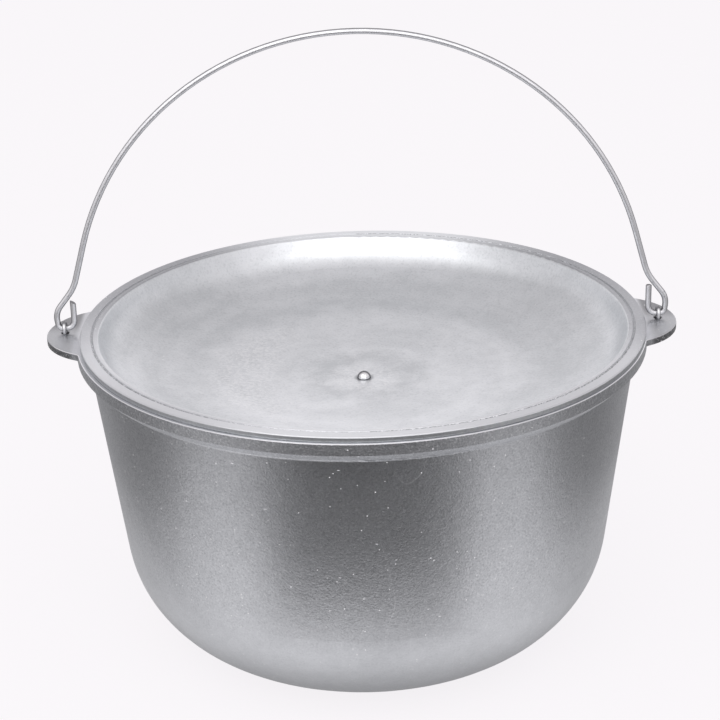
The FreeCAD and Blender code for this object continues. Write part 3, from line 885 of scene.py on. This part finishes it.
@dataclass(frozen=True)
class PolishedDome(TurnedMetal):
    """Polished rivet: bright towards the front and top, with painted shade round that, a painted shadow along
    its foot and a small dark painted reflection on its top.
    """

    unshaded_towards: Point = (0.0, -0.932, 0.364)
    shade_from: Span = (0.22, 0.5)
    far_side: Span = (0.95, 1.4)
    foot: Span = (0.1754, 0.1763)
    centre_reflection: Span = (0.0003, 0.0007)
    dark: Colour = (0.10, 0.10, 0.11)

    def surface(self, wiring: Wiring) -> Skin:
        """The turned metal, with painted shade where it faces away, a painted shadow at the dome's foot and a
        dark painted reflection on its top middle.

        Args:
            wiring: the material's tree.

        Returns:
            The skin.
        """
        skin = super().surface(wiring)
        # Painted shade: darker the further the normal turns from one fixed direction
        turned = {0: wiring.normal(), 1: self.unshaded_towards}
        facing = wiring.node("ShaderNodeVectorMath", turned, operation="DOT_PRODUCT").outputs["Value"]
        edge = wiring.maths("SUBTRACT", 1.0, facing)
        far_side = wiring.ease(edge, self.far_side, 1.0, 0.25)
        away = wiring.product(wiring.ease(edge, self.shade_from), far_side, 0.92)
        # Painted shadow along the dome's foot
        foot = wiring.fade(wiring.split(wiring.place())[2], self.foot)
        x, y, _ = wiring.split(wiring.place(LID_AXIS))
        # Painted reflection: a small dark spot on the dome's top middle
        centre_reflection = wiring.fade(wiring.length(x, y), self.centre_reflection, 0.8)
        shade = wiring.maths("MAXIMUM", away, wiring.maths("MAXIMUM", foot, centre_reflection))
        skin.colour = wiring.blend(shade, skin.colour, self.dark)
        return skin


EYE_COLOURS: tuple[Colour, Colour] = ((0.90, 0.90, 0.91), (0.72, 0.72, 0.74))


class Finish(Enum):
    """The kettle's finishes."""

    POT = SandCast("pot_sand_cast", (0.65, 0.66, 0.685), (0.50, 0.51, 0.53), 0.40)
    LID = DishCast("lid_rubbed_cast", (0.87, 0.887, 0.905), (0.65, 0.67, 0.685), 0.40)
    BAIL = DrawnWire("bail_drawn_wire", (0.92, 0.92, 0.94), (0.74, 0.74, 0.76), 0.42)
    LEFT_EYE = DrawnWire("left_eye_wire", *EYE_COLOURS, 0.46, centre=LEFT_EYE_CENTRE)
    RIGHT_EYE = DrawnWire("right_eye_wire", *EYE_COLOURS, 0.46, centre=RIGHT_EYE_CENTRE)
    KNOB = TurnedMetal("knob_turned", (0.68, 0.685, 0.70), (0.58, 0.585, 0.60), 0.32)
    RIVET = PolishedDome(
        "rivet_polished", (0.93, 0.93, 0.94), (0.8, 0.8, 0.81), 0.1, pitch=0.0005, depth=0.000004
    )
    WASHER = TurnedMetal("washer_zinc", (0.66, 0.67, 0.69), (0.5, 0.51, 0.53), 0.30, pitch=0.0011)


@dataclass
class Assembly:
    """Nodes of one moving body and the finish of each."""

    body: str
    finishes: dict[str, Finish]

    def dress(self) -> None:
        """Give each node its finish and report it."""
        for name, finish in self.finishes.items():
            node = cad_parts[name]
            node.data.materials.clear()
            node.data.materials.append(finish.value.material())
            low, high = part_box(name)
            size = ", ".join(f"{1000 * s:.1f}" for s in high - low)
            LOG.info("%s %s: %s, %s mm", self.body, name, finish.value.name, size)


@dataclass
class Pot(Assembly):
    """The standing casting and its two wire eyes."""

    body: str = "pot"
    finishes: dict[str, Finish] = field(
        default_factory=lambda: {
            "kettle_body": Finish.POT,
            "left_eye": Finish.LEFT_EYE,
            "right_eye": Finish.RIGHT_EYE,
        }
    )


@dataclass
class Bail(Assembly):
    """The wire bail."""

    body: str = "bail"
    finishes: dict[str, Finish] = field(default_factory=lambda: {"bail": Finish.BAIL})


@dataclass
class Lid(Assembly):
    """The inverted lid with its knob, rivet and washer."""

    body: str = "lid"
    finishes: dict[str, Finish] = field(
        default_factory=lambda: {
            "lid": Finish.LID,
            "lid_knob": Finish.KNOB,
            "knob_rivet": Finish.RIVET,
            "rivet_washer": Finish.WASHER,
        }
    )


class RaySort(Enum):
    """The kinds of ray that see the studio's white surroundings."""

    CAMERA = "Is Camera Ray"
    GLOSSY = "Is Glossy Ray"
    TRANSMISSION = "Is Transmission Ray"


def placed_object(name: str, data: bpy.types.ID) -> bpy.types.Object:
    """A new object that shows the data, linked to the scene.

    Args:
        name: the object's name.
        data: its mesh, lamp or camera.

    Returns:
        The object.
    """
    made = bpy.data.objects.new(name, data)
    bpy.context.scene.collection.objects.link(made)
    return made


@dataclass
class Softbox:
    """Rectangular lamp aimed at a point."""

    name: str
    at: Point
    aim: Point
    size: Span
    watts: float

    def build(self) -> bpy.types.Object:
        """Make the lamp.

        Returns:
            The lamp's object.
        """
        data = bpy.data.lights.new(self.name, "AREA")
        data.shape = "RECTANGLE"
        data.size, data.size_y = self.size
        data.energy = self.watts
        made = placed_object(self.name, data)
        made.location = self.at
        towards = Vector(self.aim) - Vector(self.at)
        made.rotation_euler = towards.to_track_quat("-Z", "Y").to_euler()
        return made


@dataclass
class Floor:
    """Pale floor that keeps a soft shadow and looks white to the camera and in the metal."""

    reach: float = 9.0
    height: float = -0.0003
    albedo: float = 0.8
    white: Colour = STUDIO_WHITE
    shadow_share: float = 0.16
    lift: float = 1.045

    def build(self) -> bpy.types.Object:
        """Make the floor.

        Returns:
            The floor's object.
        """
        r, z = self.reach, self.height
        mesh = bpy.data.meshes.new("floor")
        mesh.from_pydata([(-r, -r, z), (r, -r, z), (r, r, z), (-r, r, z)], [], [(0, 1, 2, 3)])
        made = placed_object("floor", mesh)
        mesh.materials.append(self.material())
        return made

    def material(self) -> bpy.types.Material:
        """Diffuse floor with a white of its own for the rays that see it, clear from below.

        Returns:
            The material.
        """
        made, wiring = node_material("floor_white")
        path = wiring.node("ShaderNodeLightPath")
        camera, glossy = (path.outputs[sort.value] for sort in (RaySort.CAMERA, RaySort.GLOSSY))
        seen = wiring.maths("MAXIMUM", camera, glossy)
        seen = wiring.maths("MAXIMUM", seen, path.outputs[RaySort.TRANSMISSION.value])
        diffuse = wiring.node("ShaderNodeBsdfDiffuse", {"Color": (self.albedo,) * 3})
        white = wiring.node("ShaderNodeEmission", {"Color": self.white, "Strength": self.lift})
        share = wiring.product(seen, 1.0 - self.shadow_share)
        mixed = wiring.node("ShaderNodeMixShader", {0: share, 1: diffuse.outputs[0], 2: white.outputs[0]})
        below = wiring.node("ShaderNodeNewGeometry").outputs["Backfacing"]
        clear = wiring.node("ShaderNodeBsdfTransparent")
        whole = wiring.node("ShaderNodeMixShader", {0: below, 1: mixed.outputs[0], 2: clear.outputs[0]})
        wiring.node("ShaderNodeOutputMaterial", {0: whole.outputs[0]})
        return made


@dataclass
class GlossCard:
    """Dark card on the floor round the kettle, seen only in its reflections.

    It is a flat ring. Its brightness follows the distance from the middle and the bearing
    from the front: bright close to the pot, dark straight ahead and at both sides, with a
    bright gap to the left and to the right of the front.
    """

    inner: float = 0.1
    outer: float = 7.0
    lift: float = 0.0006
    spokes: int = 96
    tint: Colour = (0.995, 0.985, 1.0)
    near: float = 0.90
    ahead: float = 0.02
    side: float = 0.19
    behind: float = 0.4
    gap: float = 0.51
    far: float = 0.24
    near_beside: float = 0.6
    under: float = 0.42
    gap_bearings: Span = (-51.0, 50.0)
    gap_edge: Span = (5.0, 25.0)
    side_bearings: Span = (15.0, 60.0)
    behind_bearings: Span = (92.0, 128.0)
    beside_bearings: Span = (40.0, 90.0)
    far_away: Span = (0.5, 1.1)
    under_edge: Span = (0.11, 0.19)
    middle: float = 0.264
    middle_in_gap: float = 0.124
    middle_behind: float = 0.03
    middle_beside: float = 0.04
    beside_edge: Span = (40.0, 80.0)
    half_width: float = 0.036
    half_width_in_gap: float = 0.026

    def build(self) -> bpy.types.Object:
        """Make the ring, radius times the cosine and sine of the bearing.

        Returns:
            The card's object.
        """
        turn = np.linspace(0.0, 2.0 * math.pi, self.spokes, endpoint=False)
        radii = np.array([self.inner, self.outer])[:, None]
        x, y = radii * np.sin(turn), -radii * np.cos(turn)
        points = np.stack([x, y, np.full_like(x, self.lift)], -1).reshape(-1, 3)
        first = np.arange(self.spokes)
        following = (first + 1) % self.spokes
        faces = np.stack([first, following, following + self.spokes, first + self.spokes], -1)
        mesh = bpy.data.meshes.new("gloss_card")
        mesh.from_pydata(points.tolist(), [], faces.tolist())
        made = placed_object("gloss_card", mesh)
        mesh.materials.append(self.material())
        for ray in ("camera", "diffuse", "shadow", "transmission", "volume_scatter"):
            setattr(made, f"visible_{ray}", False)
        return made

    def material(self) -> bpy.types.Material:
        """Emission whose strength is eased between the card's named levels.

        Returns:
            The material.
        """
        made, wiring = node_material("gloss_card")
        x, y, _ = wiring.split(wiring.place())
        away = wiring.length(x, y)
        bearing = wiring.bearing(x, y)
        aside = wiring.maths("ABSOLUTE", bearing)
        offs = (wiring.maths("SUBTRACT", bearing, centre) for centre in self.gap_bearings)
        openings = [wiring.fade(wiring.maths("ABSOLUTE", off), self.gap_edge) for off in offs]
        opening = wiring.maths("MAXIMUM", *openings)
        back = wiring.ease(aside, self.behind_bearings)
        level = wiring.ease(aside, self.side_bearings, self.ahead, self.side)
        level = wiring.level(back, level, self.behind)
        level = wiring.level(opening, level, self.gap)
        level = wiring.level(wiring.ease(away, self.far_away), level, self.far)
        beside = wiring.ease(aside, self.beside_edge, self.middle, self.middle + self.middle_beside)
        middle = wiring.added(beside, (opening, self.middle_in_gap), (back, self.middle_behind))
        half_width = wiring.added(self.half_width, (opening, self.half_width_in_gap))
        outward = wiring.maths("DIVIDE", wiring.maths("SUBTRACT", away, middle), half_width)
        close = wiring.product(
            wiring.ease(aside, self.beside_bearings, self.near, self.near_beside),
            wiring.ease(away, self.under_edge, self.under, 1.0),
        )
        strength = wiring.level(wiring.ease(outward, (-1.0, 1.0)), close, level)
        light = wiring.node("ShaderNodeEmission", {"Color": self.tint, "Strength": strength})
        wiring.node("ShaderNodeOutputMaterial", {0: light.outputs[0]})
        return made


@dataclass(frozen=True)
class SkyPatch:
    """Part of the studio's upper half that is brighter or darker than the rest in the metal."""

    bearing: float
    half_width: Span
    low: Span
    high: Span
    change: float

    def strength(self, wiring: Wiring, bearing: Source, rise: Source) -> Socket:
        """The patch's change of brightness, eased at its edges.

        Args:
            wiring: the world's tree.
            bearing: degrees from the front, to the right.
            rise: degrees above the horizon.

        Returns:
            What the patch adds at this direction.
        """
        turned = wiring.maths("WRAP", wiring.maths("SUBTRACT", bearing, self.bearing), 180.0, -180.0)
        across = wiring.fade(wiring.maths("ABSOLUTE", turned), self.half_width, self.change)
        return wiring.product(across, wiring.window(rise, self.low, self.high))


@dataclass
class Surroundings:
    """World: a plain fill, white to the camera, and a softly graded studio in the metal."""

    fill: float = 0.75
    white: Colour = STUDIO_WHITE
    studio: float = 1.0
    patches: tuple[SkyPatch, ...] = (
        SkyPatch(180.0, (45.0, 85.0), (20.0, 30.0), (91.0, 92.0), -0.33),
        SkyPatch(180.0, (15.0, 40.0), (-10.0, 0.0), (20.0, 30.0), 0.15),
        SkyPatch(0.0, (70.0, 100.0), (-10.0, 0.0), (5.0, 18.0), 0.12),
        SkyPatch(0.0, (20.0, 45.0), (8.0, 25.0), (75.0, 95.0), -0.4),
        SkyPatch(90.0, (20.0, 60.0), (-10.0, 0.0), (60.0, 80.0), -0.2),
        SkyPatch(-90.0, (20.0, 60.0), (-10.0, 0.0), (60.0, 80.0), -0.2),
    )

    def build(self) -> None:
        """Make the world."""
        world = bpy.data.worlds.new("studio")
        bpy.context.scene.world = world
        world.use_nodes = True
        wiring = Wiring(world.node_tree)
        path = wiring.node("ShaderNodeLightPath")
        camera, transmission, glossy = (
            path.outputs[sort.value] for sort in (RaySort.CAMERA, RaySort.TRANSMISSION, RaySort.GLOSSY)
        )
        seen = wiring.maths("MAXIMUM", camera, transmission)
        x, y, z = wiring.split(wiring.node("ShaderNodeTexCoord").outputs["Generated"])
        bearing = wiring.bearing(x, y)
        rise = wiring.maths("DEGREES", wiring.maths("ARCSINE", z))
        graded = self.studio
        for patch in self.patches:
            graded = wiring.maths("ADD", graded, patch.strength(wiring, bearing, rise))
        strength = wiring.level(seen, self.fill, 1.0)
        strength = wiring.level(glossy, strength, graded)
        background = wiring.node("ShaderNodeBackground", {"Color": self.white, "Strength": strength})
        wiring.node("ShaderNodeOutputWorld", {0: background.outputs[0]})


@dataclass
class PhotoCamera:
    """Camera where the photograph's stood, fitted to the rim and the outline."""

    pivot: Point = (0.0, 0.0, RIM_HEIGHT)
    elevation: float = 21.328
    distance: float = 1.255329
    roll: float = 1.489
    lens: float = 96.4454
    sensor: float = 36.0
    shift: Span = (-0.00212, -0.04855)
    clip_end: float = 50.0

    def build(self) -> bpy.types.Object:
        """Make the camera, looking along +Y and down at the pivot, and let the scene use it.

        Returns:
            The camera's object.
        """
        data = bpy.data.cameras.new("photo_camera")
        data.lens, data.sensor_width = self.lens, self.sensor
        data.shift_x, data.shift_y = self.shift
        data.dof.use_dof = False
        data.clip_end = self.clip_end
        rise = math.radians(self.elevation)
        back = Vector((0.0, -math.cos(rise), math.sin(rise)))
        made = placed_object("photo_camera", data)
        made.location = Vector(self.pivot) + back * self.distance
        made.rotation_mode = "QUATERNION"
        level = (-back).to_track_quat("-Z", "Y")
        made.rotation_quaternion = level @ Quaternion((0, 0, 1), math.radians(-self.roll))
        bpy.context.scene.camera = made
        return made


@dataclass
class Studio:
    """Floor, surroundings, lamps and camera."""

    lamps: tuple[Softbox, ...] = (
        Softbox("overhead_box", (-0.3, -1.35, 1.9), (0.0, 0.0, 0.2), (3.4, 1.6), 13.0),
        Softbox("front_box", (-0.3, -2.3, 1.5), (0.0, 0.0, 0.2), (3.8, 1.5), 14.5),
    )

    def build(self) -> None:
        """Make everything that isn't the kettle."""
        Floor().build()
        GlossCard().build()
        Surroundings().build()
        for lamp in self.lamps:
            lamp.build()
        PhotoCamera().build()
        bpy.context.scene.view_settings.view_transform = "Standard"
        LOG.info("studio: %d lamps", len(self.lamps))


def main() -> None:
    """Dress each sub-assembly, then set up the studio."""
    logging.basicConfig(level=logging.INFO, format="%(name)s %(message)s")
    for part in (Pot(), Bail(), Lid()):
        part.dress()
    Studio().build()


if __name__ == "__main__":
    main()
